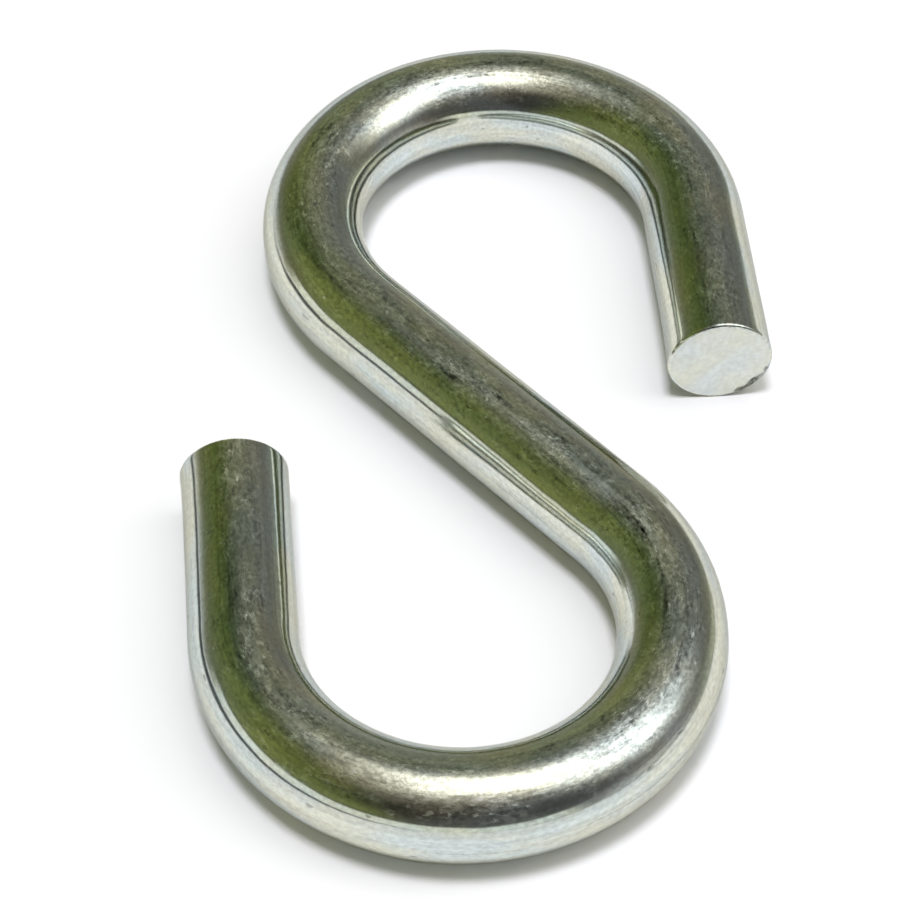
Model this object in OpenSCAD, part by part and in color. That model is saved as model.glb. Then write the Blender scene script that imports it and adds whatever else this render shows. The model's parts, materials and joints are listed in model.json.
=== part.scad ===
// S hook: one length of round steel wire, bent into two equal open eyes that face opposite ways.
// It lies flat on the floor, z = 0, with the origin under the middle of the shank.
// The eye centres lie on the Y axis, and the lower half is the upper half turned about Z.

/* [Wire] */
// Diameter of the round wire
wire_d = 6; // [3:0.5:7]
// Chamfer around each cut end
edge_break = 0.2; // [0.1:0.1:1]

/* [Eyes] */
// Length over both bends, along the line through the eye centres
overall_len = 60; // [58:1:120]
// Inside diameter of each eye
eye_d = 17; // [8:1:18]

/* [Legs] */
// Length of the straight leg after each bend, chamfer included
leg_len = 12; // [4:1:18]
// Angle by which each leg opens outwards from the long axis
leg_flare = 10; // [0:1:20]

/* [Hidden] */
$fn = 128;

// Bend radius at the wire's centre line
bend_r = (eye_d + wire_d) / 2;
// Distance of each eye centre from the origin
eye_y = overall_len / 2 - bend_r - wire_d / 2;
// The shank leans from the long axis until it is tangent to both bends
shank_lean = asin(bend_r / eye_y);
half_shank_len = sqrt(pow(eye_y, 2) - pow(bend_r, 2));
// Each bend runs from the shank, over the end of the hook, to its leg
bend_sweep = 180 + shank_lean - leg_flare;

// The leg is a hair slimmer than the bend and starts just inside it, so the two always join
leg_d = wire_d - wire_d / 300;
leg_root = wire_d / 30;

// Half of the shank, from the origin along +Y
module half_shank() {
    rotate([-90, 0, 0])
        cylinder(h = half_shank_len, d = wire_d);
}

// Round bend about the eye centre, clockwise from the end of the shank on -X
module bend() {
    mirror([1, 0, 0])
        rotate_extrude(angle = bend_sweep)
            translate([bend_r, 0])
                circle(d = wire_d);
}

// Straight leg with its chamfered cut end, from the end of the bend along +Z
module leg() {
    plain_len = leg_len - edge_break;
    translate([0, 0, -leg_root])
        cylinder(h = plain_len + leg_root, d = leg_d);
    translate([0, 0, plain_len])
        cylinder(h = edge_break, d1 = leg_d, d2 = leg_d - 2 * edge_break);
}

// Half of the wire: up the shank, round the bend and down the leg
module half_hook() {
    half_shank();
    translate([bend_r, half_shank_len, 0]) {
        bend();
        rotate([0, 0, 180 - bend_sweep])
            translate([bend_r, 0, 0])
                rotate([90, 0, 0])
                    leg();
    }
}

// The whole bent wire, lying on the floor
module hook() {
    color("silver")
        translate([0, 0, wire_d / 2])
            rotate([0, 0, shank_lean])
                for (turn = [0, 180])
                    rotate([0, 0, turn])
                        half_hook();
}

hook();
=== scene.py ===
"""Looks of a zinc-plated S hook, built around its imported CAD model. Everything is in metres."""

import json
import math

import bpy
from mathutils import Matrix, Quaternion, Vector, noise


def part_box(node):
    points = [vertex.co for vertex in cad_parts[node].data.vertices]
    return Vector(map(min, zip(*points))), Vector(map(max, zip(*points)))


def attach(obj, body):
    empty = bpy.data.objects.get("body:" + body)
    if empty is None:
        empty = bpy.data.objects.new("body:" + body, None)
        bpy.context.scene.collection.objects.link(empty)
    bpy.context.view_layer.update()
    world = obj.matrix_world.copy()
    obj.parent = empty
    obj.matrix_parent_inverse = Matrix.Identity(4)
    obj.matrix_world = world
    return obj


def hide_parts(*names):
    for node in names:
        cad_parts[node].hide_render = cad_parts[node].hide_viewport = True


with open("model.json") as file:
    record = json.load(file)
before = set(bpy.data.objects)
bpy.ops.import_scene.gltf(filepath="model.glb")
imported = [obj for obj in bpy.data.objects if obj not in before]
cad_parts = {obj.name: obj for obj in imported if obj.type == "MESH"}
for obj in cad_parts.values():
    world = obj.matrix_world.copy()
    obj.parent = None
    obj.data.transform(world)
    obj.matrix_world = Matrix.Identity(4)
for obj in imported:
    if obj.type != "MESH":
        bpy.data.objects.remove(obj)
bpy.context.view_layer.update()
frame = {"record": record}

MM = 0.001

# ---------------------------------------------------------------- driving dimensions, from the frame

NODE = "hook"
MOUNTS = {mount["name"]: mount for mount in frame["record"]["mounts"]}
TIP = MOUNTS["upper_tip"]
LOW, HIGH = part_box(NODE)

WIRE_R = (HIGH.z - LOW.z) / 2
EYE_R = MOUNTS["upper_seat"]["dims"]["r_mm"] * MM
BEND_R = EYE_R + WIRE_R
EYE_Y = HIGH.y - BEND_R - WIRE_R
EDGE = 0.2 * MM                       # rounding of the sheared ends
LEG_LEN = TIP["dims"]["length_mm"] * MM + EDGE
LEG_AXIS = Vector(TIP["axis"])        # from the upper bend towards the upper end
UPPER_END = Vector(TIP["pos_m"]) + LEG_AXIS * (LEG_LEN + EDGE) / 2
SHANK_LEN = 2 * math.sqrt(EYE_Y ** 2 - BEND_R ** 2)
SHANK_HEADING = math.asin(BEND_R / EYE_Y) - math.pi / 2
START_HEADING = math.atan2(-LEG_AXIS.y, -LEG_AXIS.x)
BEND_LEN = BEND_R * (SHANK_HEADING + 2 * math.pi - START_HEADING)

# Length and curvature of each run of the wire, from the upper end to the lower one
RUNS = (
    (LEG_LEN, 0),
    (BEND_LEN, 1 / BEND_R),
    (SHANK_LEN, 0),
    (BEND_LEN, -1 / BEND_R),
    (LEG_LEN, 0),
)
WIRE_LEN = sum(length for length, _ in RUNS)

# ---------------------------------------------------------------- the wire

# Angles round the wire start at the left of its heading, and 90 degrees is its top
RING_GAP = 0.23 * MM                  # distance between rings along the wire
RING_POINTS = 96
EDGE_RINGS = 5                        # rings round a sheared edge
FACE_RINGS = 18                       # rings across a sheared face
# Slow unevenness that bending and tumbling left: size along and across the wire, and height
WAVES = (
    (3.0 * MM, 2.0 * MM, 0.010 * MM),
    (1.1 * MM, 0.8 * MM, 0.004 * MM),
)
PRESSED_AT = math.radians(-25)        # side that the shears pressed out
PRESSED_OUT = 0.16 * MM
PRESSED_REACH = 1.3 * MM
SMEAR_SIZE = (1.6 * MM, 0.7 * MM)     # smears on a cut face: their length and their height upwards
SMEAR_RELIEF = 0.03 * MM
TORN_AT = math.radians(222)           # side where the metal tore instead of being cut
TORN_HALF = math.radians(33)          # half of its spread round the wire
TORN_FADE = (0.8, 1.1)                # shares of that half over which the tear ends
TORN_FROM = 0.87                      # share of the radius where the torn ledge starts
TORN_BOW = 0.09                       # how much further out it starts at its ends
TORN_STEP = (-0.02, 0.03)             # shares of the radius over which it drops
TORN_JAGS = ((6, 8, 0.05), (22, 25, 0.04))  # jags of its border: how fine round and across, and reach
TORN_DEPTH = 0.16 * MM
WEAR_AXIS = Vector((0, -0.32, 0.95))  # the scuffed sides lie along it, a little off the vertical


def centreline():
    """Rows of (length so far, point, heading), from the upper end to the lower one."""
    point, heading, done = UPPER_END.copy(), START_HEADING, 0.0
    rows = [(done, point.copy(), heading)]
    for length, curvature in RUNS:
        count = round(length / RING_GAP)
        step = length / count
        for _ in range(count):
            turn = curvature * step
            chord = step * (math.sin(turn / 2) / (turn / 2) if turn else 1)
            middle = heading + turn / 2
            point += chord * Vector((math.cos(middle), math.sin(middle), 0))
            heading += turn
            done += step
            rows.append((done, point.copy(), heading))
    return rows


def waviness(spot):
    """Height of the slow unevenness at a spot of the straightened wire."""
    height = 0.0
    for along, across, size in WAVES:
        height += size * noise.noise(Vector((spot.x / along, spot.y / across, spot.z / across)))
    return height


def smooth(value, low, high):
    """0 below low, 1 above high and a smooth rise between."""
    share = min(1.0, max(0.0, (value - low) / (high - low)))
    return share * share * (3 - 2 * share)


def torn(angle, share):
    """1 on the torn ledge of a cut face, 0 off it; its inner border is jagged."""
    off = (angle - TORN_AT + math.pi) % (2 * math.pi) - math.pi
    inner = TORN_FROM + TORN_BOW * (off / TORN_HALF) ** 2
    for round_face, across_face, reach in TORN_JAGS:
        inner += reach * noise.noise(Vector((angle * round_face, share * across_face, 0)))
    window = 1 - smooth(abs(off), *(TORN_HALF * end for end in TORN_FADE))
    return window * smooth(share, *(inner + edge for edge in TORN_STEP))


def end_swell(before, angle):
    """Extra radius near an end, on the side that the shears pressed out."""
    near = math.exp(-before / PRESSED_REACH)
    return PRESSED_OUT * near * max(0.0, math.cos(angle - PRESSED_AT)) ** 2


def face_relief(spot):
    """Height of the smears that the shears left across the cut face."""
    length, height = SMEAR_SIZE
    return SMEAR_RELIEF * noise.noise(Vector((0.0, spot.y / length, spot.z / height)))


def end_profile():
    """Rows of (distance before the end, radius) that round the sheared edge and cross its face."""
    rows = []
    for i in range(1, EDGE_RINGS + 1):
        angle = math.pi / 2 * i / EDGE_RINGS
        rows.append((EDGE * (1 - math.sin(angle)), WIRE_R - EDGE * (1 - math.cos(angle))))
    for i in range(1, FACE_RINGS):
        rows.append((0.0, (WIRE_R - EDGE) * (1 - i / FACE_RINGS)))
    return rows


def wire_rings():
    """Rings of (length along, centre, heading, radius, way out of a cut face or 0)."""
    rows = centreline()
    middle = []
    for along, centre, heading in rows:
        if EDGE < along < WIRE_LEN - EDGE:
            middle.append((along, centre, heading, WIRE_R, 0))
    ends = []
    for (along, centre, heading), way in ((rows[0], -1), (rows[-1], 1)):
        forward = Vector((math.cos(heading), math.sin(heading), 0))
        rings = []
        for before, radius in end_profile():
            shift = -way * before
            cut = way if radius <= WIRE_R - EDGE + 1e-9 else 0
            rings.append((along + shift, centre + shift * forward, heading, radius, cut))
        ends.append(rings)
    return ends[0][::-1] + middle + ends[1]


def wire_points(rings):
    """All rings' points, their places on the straightened wire, and their marks for the material."""
    verts, straight = [], []
    marks = {"cut": [], "torn": [], "facing": []}
    for along, centre, heading, radius, cut in rings:
        side = Vector((-math.sin(heading), math.cos(heading), 0))
        forward = Vector((math.cos(heading), math.sin(heading), 0))
        before = max(0.0, min(along, WIRE_LEN - along))
        share = radius / WIRE_R
        for k in range(RING_POINTS):
            angle = 2 * math.pi * k / RING_POINTS
            spot = Vector((along, radius * math.cos(angle), radius * math.sin(angle)))
            out = side * math.cos(angle) + Vector((0, 0, math.sin(angle)))
            ledge = torn(angle, share) * math.exp(-before / TORN_DEPTH)
            spread = radius + end_swell(before, angle) * share
            if cut:
                push = cut * (face_relief(spot) - TORN_DEPTH * ledge)
            else:
                spread += waviness(spot)
                push = 0.0
            vert = centre + out * spread + forward * push
            vert.z = max(vert.z, LOW.z)
            verts.append(vert)
            straight.append(spot)
            marks["cut"].append(abs(cut))
            marks["torn"].append(ledge)
            marks["facing"].append(abs(out.dot(WEAR_AXIS)))
    return verts, straight, marks


def neighbours(ring):
    """Pairs of neighbouring points of a ring, all the way round."""
    first = ring * RING_POINTS
    return [(first + k, first + (k + 1) % RING_POINTS) for k in range(RING_POINTS)]


def build_wire():
    """The whole hook as one closed mesh, with its straightened coordinates kept for the material."""
    rings = wire_rings()
    verts, straight, marks = wire_points(rings)
    last = len(rings) - 1
    faces = []
    for ring in range(last):
        for a, b in neighbours(ring):
            faces.append((a, a + RING_POINTS, b + RING_POINTS, b))
    for ring in (0, last):
        along, centre = rings[ring][:2]
        hub = len(verts)
        verts.append(centre)
        straight.append(Vector((along, 0, 0)))
        for name, value in (("cut", 1), ("torn", 0), ("facing", 0)):
            marks[name].append(value)
        for a, b in neighbours(ring):
            faces.append((hub, b, a) if ring == last else (hub, a, b))

    mesh = bpy.data.meshes.new("hook_wire")
    mesh.from_pydata(verts, [], faces)
    mesh.attributes.new("straight", "FLOAT_VECTOR", "POINT").data.foreach_set(
        "vector", [value for spot in straight for value in spot])
    for name, values in marks.items():
        mesh.attributes.new(name, "FLOAT", "POINT").data.foreach_set("value", values)
    mesh.shade_smooth()
    mesh.update()
    hook = bpy.data.objects.new("hook_wire", mesh)
    bpy.context.scene.collection.objects.link(hook)
    return hook


# ---------------------------------------------------------------- shader building


class Shader:
    """Adds nodes to one node tree. An input is given as a value or as another node's output."""

    def __init__(self, tree):
        self.tree = tree
        tree.nodes.clear()

    def node(self, kind, inputs, **settings):
        made = self.tree.nodes.new("ShaderNode" + kind)
        for name, value in settings.items():
            setattr(made, name, value)
        for key, value in inputs.items():
            if isinstance(value, bpy.types.NodeSocket):
                self.tree.links.new(value, made.inputs[key])
            else:
                made.inputs[key].default_value = value
        return made

    def math(self, operation, a, b=0.0, c=0.0):
        return self.node("Math", {0: a, 1: b, 2: c}, operation=operation).outputs[0]

    def total(self, values):
        result = values[0]
        for value in values[1:]:
            result = self.math("ADD", result, value)
        return result

    def product(self, values):
        result = values[0]
        for value in values[1:]:
            result = self.math("MULTIPLY", result, value)
        return result

    def dot(self, a, b):
        return self.node("VectorMath", {0: a, 1: b}, operation="DOT_PRODUCT").outputs["Value"]

    def scaled(self, vector, factors):
        made = self.node("VectorMath", {0: vector, 1: factors}, operation="MULTIPLY")
        return made.outputs["Vector"]

    def times(self, vector, factor):
        made = self.node("VectorMath", {0: vector, "Scale": factor}, operation="SCALE")
        return made.outputs["Vector"]

    def step(self, value, low, high, to_low=0.0, to_high=1.0):
        """to_low below low, to_high above high and a smooth change between."""
        inputs = {"Value": value, "From Min": low, "From Max": high, "To Min": to_low, "To Max": to_high}
        return self.node("MapRange", inputs, interpolation_type="SMOOTHSTEP").outputs[0]

    def swing(self, value, half, reach=1.0):
        """From -reach to reach, where a noise is within half of its middle value of 0.5."""
        return self.step(value, 0.5 - half, 0.5 + half, -reach, reach)

    def between(self, value, low, high, low_soft, high_soft):
        """1 between low and high, falling to 0 over twice the softness of each."""
        rise = self.step(value, low - low_soft, low + low_soft)
        fall = self.step(value, high - high_soft, high + high_soft, 1.0, 0.0)
        return self.math("MULTIPLY", rise, fall)

    def noise(self, vector, scale, detail=2.0, roughness=0.5):
        inputs = {"Vector": vector, "Scale": scale, "Detail": detail, "Roughness": roughness}
        return self.node("TexNoise", inputs).outputs["Fac"]

    def blend(self, factor, a, b):
        return self.node("Mix", {0: factor, 2: a, 3: b}).outputs[0]

    def mix(self, factor, a, b):
        made = self.node("Mix", {0: factor, 6: a, 7: b}, data_type="RGBA")
        return made.outputs[2]


def direction(azimuth, elevation):
    """Unit vector towards an azimuth, counterclockwise from +X, and an elevation, in degrees."""
    a, e = math.radians(azimuth), math.radians(elevation)
    return Vector((math.cos(a) * math.cos(e), math.sin(a) * math.cos(e), math.sin(e)))


# ---------------------------------------------------------------- zinc

# The film on the plating is bluish in places and yellowish in others, and so is a cut face
BLUISH_ZINC = (0.60, 0.66, 0.65, 1)
YELLOWISH_ZINC = (0.665, 0.67, 0.56, 1)
BLUISH_CUT = (0.71, 0.755, 0.745, 1)
YELLOWISH_CUT = (0.75, 0.765, 0.67, 1)
GRAZING_TINT = (0.6, 0.6, 0.57, 1)
# How far a side faces the wear axis where scuffing starts and where it is full, and how ragged this is
SCUFF_EDGE = (0.79, 0.94)
SCUFF_RAGGED = 0.07
SCUFF_LEAST = 0.55                    # how scuffed the least worn patches are
# Relief
GRAIN_HEIGHT = 0.0007 * MM
SPECK_DEPTH = 0.002 * MM
STREAK_HEIGHT = 0.0004 * MM
CUT_SMEAR_HEIGHT = 0.05 * MM
# Roughness
SHINY = 0.115
SCUFFED = 0.19
IN_SPECKS = 0.38
SCRATCHES_ADD = 0.14
CUT_FACE = 0.5


def zinc_material():
    """Bright zinc: shiny flanks, with an upper and a lower side scuffed dull and grainy."""
    material = bpy.data.materials.new("zinc_plating")
    material.use_nodes = True
    s = Shader(material.node_tree)
    straight = s.node("Attribute", {}, attribute_name="straight").outputs["Vector"]
    cut, torn_edge, facing = (s.node("Attribute", {}, attribute_name=name).outputs["Fac"]
                              for name in ("cut", "torn", "facing"))

    def marks(scale, detail, along=1, roughness=0.5):
        """Noise with about scale marks a metre across the wire and scale * along marks along it."""
        return s.noise(s.scaled(straight, (along, 1, 1)), scale, detail, roughness)

    # Where the tumbling barrel wore the wire
    ragged = s.swing(marks(1300, 3), 0.2, SCUFF_RAGGED)
    patchy = s.step(marks(500, 2, along=0.5), 0.3, 0.6, SCUFF_LEAST, 1.0)
    scuffed = s.product((s.step(s.math("ADD", facing, ragged), *SCUFF_EDGE), patchy))

    # Marks in the plating, each from -1 or 0 to 1
    grain = s.swing(marks(4800, 2, along=0.75, roughness=0.6), 0.2)
    specks = s.step(marks(3600, 1, along=0.6), 0.65, 0.74)
    winding = s.math("SUBTRACT", marks(2600, 3, along=0.35, roughness=0.6), 0.5)
    scratches = s.step(s.math("ABSOLUTE", winding), 0.0, 0.08, 1.0, 0.0)
    dense = s.step(marks(1100, 1), 0.35, 0.62, 0.2, 1.0)
    scratches = s.product((scratches, dense, scuffed))
    mottle = s.swing(marks(2000, 2, along=0.45), 0.15)
    streaks = s.swing(marks(2400, 2, along=0.03), 0.2)
    grooves = s.step(marks(2300, 3, along=0.12), 0.56, 0.66)
    die_lines = s.step(marks(4200, 1, along=0.012), 0.66, 0.74)
    spots = s.step(marks(2200, 1, along=0.5), 0.74, 0.78)
    film = marks(600, 3, along=0.3)

    # Marks on a cut face
    smears = marks(1500, 3)
    stain = s.step(marks(420, 3), 0.3, 0.7)
    pits = marks(3200, 3)
    crumbs = s.step(pits, 0.35, 0.65, -0.75, -0.30)

    relief = s.total((
        s.product((grain, scuffed, GRAIN_HEIGHT)),
        s.product((specks, scuffed, -SPECK_DEPTH)),
        s.product((streaks, STREAK_HEIGHT)),
        s.product((smears, cut, CUT_SMEAR_HEIGHT)),
    ))
    bump = s.node("Bump", {"Strength": 1.0, "Distance": 1.0, "Height": relief})

    # How much each mark lightens the plating: everywhere, and on top of that where it is scuffed
    tones = (
        (grain, 0.10, 0.21),
        (grooves, -0.04, -0.34),
        (mottle, 0.0, 0.13),
        (s.swing(film, 0.15), 0.0, 0.15),
        (specks, 0.0, 0.20),
        (streaks, 0.10, 0.0),
        (die_lines, -0.22, 0.0),
        (scratches, 0.28, 0.0),
        (spots, -0.40, 0.0),
        (torn_edge, -0.50, 0.0),
    )
    shades = [1.0]
    for mark, plain, extra in tones:
        shades.append(s.product((mark, s.math("MULTIPLY_ADD", scuffed, extra, plain))))
    tone = s.total(shades)
    plated = s.times(s.mix(s.step(film, 0.35, 0.65), BLUISH_ZINC, YELLOWISH_ZINC), tone)
    face_tone = s.total((
        s.step(smears, 0.3, 0.7, 0.96, 1.02),
        s.swing(pits, 0.2, 0.05),
        s.product((torn_edge, crumbs)),
    ))
    fresh = s.times(s.mix(stain, YELLOWISH_CUT, BLUISH_CUT), face_tone)

    dull = s.blend(specks, SCUFFED, IN_SPECKS)
    worn = s.math("MULTIPLY_ADD", scratches, SCRATCHES_ADD, s.blend(scuffed, SHINY, dull))
    shader = s.node("BsdfPrincipled", {
        "Base Color": s.mix(cut, plated, fresh),
        "Metallic": 1.0,
        "Roughness": s.blend(cut, worn, CUT_FACE),
        "Normal": bump.outputs[0],
        "Specular Tint": GRAZING_TINT,
    })
    s.node("OutputMaterial", {"Surface": shader.outputs[0]})
    return material


# ---------------------------------------------------------------- studio

# What stands round the hook: azimuth and elevation, how tightly it is bounded, and its colour
SURROUNDINGS = (
    # Pale ground in front, to the right and to the left, and dimmer ground at the back
    (-15, -8, 19, (1.30, 1.30, 1.27)),
    (35, -9, 37, (0.86, 0.94, 0.76)),
    (158, -12, 40, (1.28, 1.30, 1.20)),
    (90, -10, 29, (0.41, 0.40, 0.33)),
    (118, -6, 21, (0.29, 0.28, 0.22)),
    # Green from the back round to the left
    (108, 25, 30, (0.21, 0.27, 0.01)),
    (164, 29, 14, (0.25, 0.31, 0.07)),
    (-168, 24, 14, (0.23, 0.26, 0.10)),
    (-156, 46, 20, (0.06, 0.07, 0.01)),
    # Grey, from dark to light
    (-46, 20, 18, (0.10, 0.10, 0.10)),
    (165, 15, 19, (0.14, 0.12, 0.13)),
    (39, 13, 20, (0.18, 0.18, 0.16)),
    (107, 73, 19, (0.26, 0.26, 0.21)),
    (103, 26, 30, (0.27, 0.24, 0.28)),
    (-95, 79, 14, (0.42, 0.38, 0.33)),
    (1, 42, 22, (0.80, 0.81, 0.76)),
    # Nearly black
    (-100, 55, 27, (0.01, 0.01, 0.01)),
    (-16, 12, 12, (0.02, 0.01, 0.01)),
    (138, 43, 10, (0.02, 0.04, 0.01)),
)
# Light panel on the ceiling: its edges along X and Y and their softness, over the ceiling's height
PANEL_GLOW = (-0.17, 2.00, -0.25, 0.42), (0.26, 0.50, 0.43, 0.42), (0.85, 0.85, 0.83, 1)
PANEL = (-0.08, 1.31, -0.20, 0.35), (0.10, 0.35, 0.20, 0.15), (2.25, 2.25, 2.22, 1)
# Low white screen with a dark rail along its top; heights are sines of elevations
SCREEN_AIM = -115                     # azimuth of its middle
SCREEN_SIDES = (0.15, 0.45)           # cosines from its middle over which it fades in
SCREEN_TOP = math.sin(math.radians(10.5))
SCREEN_FADE = (-0.020, 0.015)         # heights over its top where it ends
SCREEN = (0.93, 0.96, 0.88, 1)
RAIL_HEIGHT = 0.05
RAIL_SOFTNESS = (0.015, 0.020)        # of its lower and its upper edge
RAIL_SHARE = 0.8                      # how much it covers what is behind it
RAIL = (0.03, 0.035, 0.02, 1)
LAMP_AIM = (-110, 82)                 # azimuth and elevation of the lamp overhead
LAMP_ANGLE = 15                       # its width, in degrees
LAMP_STRENGTH = 1.65                  # a white floor under it alone would show at this over pi
LAMP_COLOUR = (0.99, 0.985, 1.08)
FLOOR_HALF = 3.0
SHEET = (1, 1, 1, 1)                  # white floor
# What only the metal sees of the floor beyond the picture: a darker table, and a dark strip on the left
SHEET_EDGE = (0.090, 0.120)           # distances to the right and back over which the white runs out
TABLE = (0.40, 0.40, 0.37, 1)
DARK_STRIP = (0.040, 0.150)                  # distances to the left of its near and far side
DARK_STRIP_SOFTNESS = (0.003, 0.020)         # of its near and far side
DARK_STRIP_FADE = (0.012, 0.040)             # distances to the back over which it grows faint
DARK_STRIP_FAINT = 0.3
DARK_STRIP_COLOUR = (0.05, 0.06, 0.06, 1)


def panel_mask(s, ray, edges, softness):
    """1 for rays that meet a rectangle on the ceiling."""
    part = s.node("SeparateXYZ", {0: ray})
    up = s.math("MAXIMUM", part.outputs["Z"], 0.02)
    x = s.math("DIVIDE", part.outputs["X"], up)
    y = s.math("DIVIDE", part.outputs["Y"], up)
    along_x = s.between(x, edges[0], edges[1], softness[0], softness[1])
    along_y = s.between(y, edges[2], edges[3], softness[2], softness[3])
    return s.math("MULTIPLY", along_x, along_y)


def build_world():
    """What the metal mirrors: muted surroundings, a low white screen and a light panel above."""
    world = bpy.data.worlds.new("studio")
    bpy.context.scene.world = world
    world.use_nodes = True
    s = Shader(world.node_tree)
    ray = s.node("TexCoord", {}).outputs["Generated"]

    weights, parts = [], (0, 0, 0)
    for azimuth, elevation, tightness, colour in SURROUNDINGS:
        facing = s.dot(ray, direction(azimuth, elevation))
        weight = s.math("EXPONENT", s.math("MULTIPLY_ADD", facing, tightness, -tightness))
        weights.append(weight)
        part = s.times(colour, weight)
        parts = s.node("VectorMath", {0: part, 1: parts}, operation="ADD").outputs[0]
    light = s.times(parts, s.math("DIVIDE", 1.0, s.total(weights)))

    height = s.node("SeparateXYZ", {0: ray}).outputs["Z"]
    fronting = s.step(s.dot(ray, direction(SCREEN_AIM, 0)), *SCREEN_SIDES)
    rail = s.between(height, SCREEN_TOP, SCREEN_TOP + RAIL_HEIGHT, *RAIL_SOFTNESS)
    screen = s.step(height, *(SCREEN_TOP + edge for edge in SCREEN_FADE), 1.0, 0.0)
    light = s.mix(s.product((rail, fronting, RAIL_SHARE)), light, RAIL)
    light = s.mix(s.product((screen, fronting)), light, SCREEN)
    for edges, softness, colour in (PANEL_GLOW, PANEL):
        light = s.mix(panel_mask(s, ray, edges, softness), light, colour)
    background = s.node("Background", {"Color": light, "Strength": 1.0})
    s.node("OutputWorld", {"Surface": background.outputs[0]})


def build_lamp():
    """Round soft light nearly overhead, which gives half of the light and the short shadows."""
    data = bpy.data.lights.new("overhead", "SUN")
    data.energy = LAMP_STRENGTH
    data.color = LAMP_COLOUR
    data.angle = math.radians(LAMP_ANGLE)
    lamp = bpy.data.objects.new("overhead", data)
    lamp.visible_glossy = False       # the metal mirrors the panel alone
    lamp.rotation_mode = "QUATERNION"
    lamp.rotation_quaternion = direction(*LAMP_AIM).to_track_quat("Z", "Y")
    bpy.context.scene.collection.objects.link(lamp)


def build_floor():
    """Plain white floor that keeps the hook's shadow. The metal also sees what lies beyond it."""
    far, near = FLOOR_HALF, -FLOOR_HALF
    mesh = bpy.data.meshes.new("floor")
    mesh.from_pydata([(near, near, 0), (far, near, 0), (far, far, 0), (near, far, 0)], [], [(0, 1, 2, 3)])
    floor = bpy.data.objects.new("floor", mesh)
    bpy.context.scene.collection.objects.link(floor)
    material = bpy.data.materials.new("floor_white")
    material.use_nodes = True
    s = Shader(material.node_tree)
    spot = s.node("TexCoord", {}).outputs["Object"]
    left, right, back = (s.dot(spot, way) for way in ((-1, 0, 0), (1, 0, 0), (0, 1, 0)))
    beyond = s.step(s.math("MAXIMUM", right, back), *SHEET_EDGE)
    # Dark strip on the floor to the left, fainter towards the back, seen only in the metal
    dark_strip = s.between(left, *DARK_STRIP, *DARK_STRIP_SOFTNESS)
    dark_strip = s.math("MULTIPLY", dark_strip, s.step(back, *DARK_STRIP_FADE, 1.0, DARK_STRIP_FAINT))
    mirrored = s.mix(dark_strip, s.mix(beyond, SHEET, TABLE), DARK_STRIP_COLOUR)
    in_metal = s.node("LightPath", {}).outputs["Is Glossy Ray"]
    shader = s.node("BsdfDiffuse", {"Color": s.mix(in_metal, SHEET, mirrored)})
    s.node("OutputMaterial", {"Surface": shader.outputs[0]})
    mesh.materials.append(material)


# Where the photograph was taken from; the angles are in degrees
TARGET = Vector((-1.801, -0.098, 0)) * MM
AZIMUTH, ELEVATION, ROLL = 4.294, 48.468, 1.219
DISTANCE = 179.71 * MM
LENS = 124.66


def build_camera():
    """Camera at the photograph's viewing angle, with a slight roll."""
    data = bpy.data.cameras.new("camera")
    data.lens = LENS
    data.clip_start = 0.01
    camera = bpy.data.objects.new("camera", data)
    bpy.context.scene.collection.objects.link(camera)
    back = direction(AZIMUTH - 90, ELEVATION)
    camera.location = TARGET + back * DISTANCE
    camera.rotation_mode = "QUATERNION"
    roll = Quaternion((0, 0, 1), math.radians(ROLL))
    camera.rotation_quaternion = (-back).to_track_quat("-Z", "Y") @ roll
    bpy.context.scene.camera = camera


hook = build_wire()
hook.data.materials.append(zinc_material())
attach(hook, "root")
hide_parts(NODE)

build_world()
build_lamp()
build_floor()
build_camera()
bpy.context.scene.view_settings.view_transform = "Standard"
